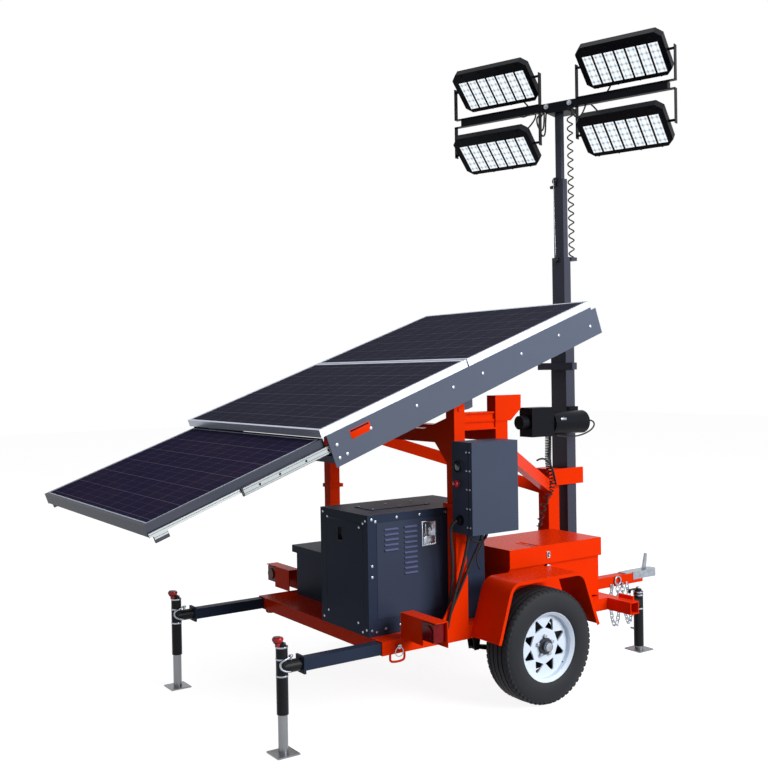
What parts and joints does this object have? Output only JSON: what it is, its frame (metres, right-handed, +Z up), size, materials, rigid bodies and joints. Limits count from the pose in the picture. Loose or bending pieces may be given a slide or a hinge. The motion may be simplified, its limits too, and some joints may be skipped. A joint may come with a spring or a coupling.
{
  "type": "solar light tower trailer",
  "caption": "Single-axle trailer with a tilting solar array, a telescopic mast and four floodlights on a turning bar.",
  "frame": {"origin": "on the ground, at the middle of the overall bounding box in X and Y", "axes": "+X forward to the coupler, +Y to the trailer's left, +Z up"},
  "size_m": [4.3686, 2.058, 4.1821],
  "materials": {
    "orange_paint": "gloss",
    "charcoal_paint": "satin",
    "black_steel": "satin",
    "zinc_steel": "satin",
    "white_paint": "gloss",
    "tyre_rubber": "matte",
    "panel_glass": "gloss",
    "red_plastic": "gloss",
    "cord_plastic": "matte"
  },
  "bodies": {
    "trailer": {"side_rails": "orange_paint", "cross_members": "orange_paint", "tongue": "orange_paint", "coupler": "zinc_steel", "axle": "black_steel", "leaf_springs": "black_steel", "fenders": "orange_paint", "front_box": "orange_paint", "tower_posts": "orange_paint", "tower_gussets": "orange_paint", "tower_beam": "orange_paint", "tower_arms": "orange_paint", "tower_crossbar": "orange_paint", "mast_post": "orange_paint", "braces": "orange_paint", "generator_housing": "charcoal_paint", "generator_panel": "charcoal_paint", "generator_block": "black_steel", "battery_box": "charcoal_paint", "control_box": "charcoal_paint", "lamp_brackets": "orange_paint", "tail_lamps": "red_plastic", "front_jack_mounts": "orange_paint", "mast_base": "charcoal_paint", "mast_fittings": "charcoal_paint", "winch": "black_steel"},
    "wheel_left": {"tyre_left": "tyre_rubber", "rim_left": "white_paint"},
    "wheel_right": {"tyre_right": "tyre_rubber", "rim_right": "white_paint"},
    "mast_second": {"mast_second": "charcoal_paint", "curly_cord": "cord_plastic"},
    "mast_third": {"mast_third": "charcoal_paint"},
    "mast_top": {"mast_top": "charcoal_paint"},
    "lamp_bar": {"head_bar": "charcoal_paint"},
    "array": {"array_panels": "panel_glass", "array_sides": "charcoal_paint", "array_crossbars": "charcoal_paint", "array_webs": "charcoal_paint", "array_rails": "zinc_steel"},
    "drawer_slides": {"drawer_slides": "zinc_steel"},
    "drawer": {"drawer": "panel_glass"},
    "front_box_lid": {"front_box_lid": "orange_paint"},
    "battery_box_lid": {"battery_box_lid": "charcoal_paint"},
    "lamp_upper_left": {"lamp_upper_left": "black_steel"},
    "lamp_lower_left": {"lamp_lower_left": "black_steel"},
    "outrigger_left": {"outrigger_left": "black_steel"},
    "rear_jack_left": {"rear_jack_left": "black_steel"},
    "front_jack_left": {"front_jack_left": "black_steel"},
    "lamp_upper_right": {"lamp_upper_right": "black_steel"},
    "lamp_lower_right": {"lamp_lower_right": "black_steel"},
    "outrigger_right": {"outrigger_right": "black_steel"},
    "rear_jack_right": {"rear_jack_right": "black_steel"},
    "front_jack_right": {"front_jack_right": "black_steel"}
  },
  "joints": [
    {"name": "mast_lift", "type": "slide", "parent": "trailer", "child": "mast_second", "axis": [0, 0, 1], "range_m": [-0.433, 1]},
    {"name": "mast_third_lift", "type": "slide", "parent": "mast_second", "child": "mast_third", "axis": [0, 0, 1], "range_m": [-0.433, 1]},
    {"name": "mast_top_lift", "type": "slide", "parent": "mast_second", "child": "mast_top", "axis": [0, 0, 1], "range_m": [-0.866, 2], "deforming": ["curly_cord"]},
    {"name": "lamp_bar_turn", "type": "hinge", "parent": "mast_top", "child": "lamp_bar", "pos_m": [1.25612, 0, 3.822], "axis": [0, 0, 1], "range_deg": [-19.5, 160.5]},
    {"name": "wheel_left_spin", "type": "hinge", "parent": "trailer", "child": "wheel_left", "pos_m": [0.17932, 0.8753, 0.338], "axis": [0, 1, 0], "continuous": true},
    {"name": "lamp_upper_left_tilt", "type": "hinge", "parent": "lamp_bar", "child": "lamp_upper_left", "pos_m": [1.07602, 0.46665, 4.06], "axis": [-0.3338, 0.9426, 0], "range_deg": [-45, 45]},
    {"name": "lamp_lower_left_tilt", "type": "hinge", "parent": "lamp_bar", "child": "lamp_lower_left", "pos_m": [1.07602, 0.46665, 3.584], "axis": [-0.3338, 0.9426, 0], "range_deg": [-45, 45]},
    {"name": "outrigger_left_slide", "type": "slide", "parent": "trailer", "child": "outrigger_left", "axis": [1, 0, 0], "range_m": [0, 0.47]},
    {"name": "rear_jack_left_swivel", "type": "hinge", "parent": "outrigger_left", "child": "rear_jack_left", "pos_m": [-1.35368, 0.6876, 0.4433], "axis": [1, 0, 0], "range_deg": [-90, 0]},
    {"name": "front_jack_left_swivel", "type": "hinge", "parent": "trailer", "child": "front_jack_left", "pos_m": [1.03962, 0.808, 0.4433], "axis": [1, 0, 0], "range_deg": [-90, 0]},
    {"name": "wheel_right_spin", "type": "hinge", "parent": "trailer", "child": "wheel_right", "pos_m": [0.17932, -0.8753, 0.338], "axis": [0, 1, 0], "continuous": true},
    {"name": "lamp_upper_right_tilt", "type": "hinge", "parent": "lamp_bar", "child": "lamp_upper_right", "pos_m": [1.40983, -0.47599, 4.06], "axis": [-0.3338, 0.9426, 0], "range_deg": [-45, 45]},
    {"name": "lamp_lower_right_tilt", "type": "hinge", "parent": "lamp_bar", "child": "lamp_lower_right", "pos_m": [1.40983, -0.47599, 3.584], "axis": [-0.3338, 0.9426, 0], "range_deg": [-45, 45]},
    {"name": "outrigger_right_slide", "type": "slide", "parent": "trailer", "child": "outrigger_right", "axis": [1, 0, 0], "range_m": [0, 0.47]},
    {"name": "rear_jack_right_swivel", "type": "hinge", "parent": "outrigger_right", "child": "rear_jack_right", "pos_m": [-1.35368, -0.6876, 0.4433], "axis": [1, 0, 0], "range_deg": [0, 90]},
    {"name": "front_jack_right_swivel", "type": "hinge", "parent": "trailer", "child": "front_jack_right", "pos_m": [1.03962, -0.808, 0.4433], "axis": [1, 0, 0], "range_deg": [0, 90]},
    {"name": "array_tilt", "type": "hinge", "parent": "trailer", "child": "array", "pos_m": [-0.27068, 0, 1.725], "axis": [0, -1, 0], "range_deg": [-20.08, 15]},
    {"name": "drawer_slide", "type": "slide", "parent": "array", "child": "drawer", "axis": [0.9392, 0, 0.3433], "range_m": [0, 1.02]},
    {"name": "drawer_slides_run", "type": "slide", "parent": "array", "child": "drawer_slides", "axis": [0.9392, 0, 0.3433], "range_m": [0, 0.51]},
    {"name": "front_box_lid_open", "type": "hinge", "parent": "trailer", "child": "front_box_lid", "pos_m": [0.56432, -0.1724, 0.7379], "axis": [-1, 0, 0], "range_deg": [0, 55]},
    {"name": "battery_box_lid_open", "type": "hinge", "parent": "trailer", "child": "battery_box_lid", "pos_m": [-0.10418, 0.337, 0.77], "axis": [0, 1, 0], "range_deg": [0, 52]}
  ],
  "couplings": [
    {"joint": "mast_third_lift", "follows": "mast_lift", "ratio": 1},
    {"joint": "mast_top_lift", "follows": "mast_lift", "ratio": 2},
    {"joint": "drawer_slides_run", "follows": "drawer_slide", "ratio": 0.5}
  ]
}
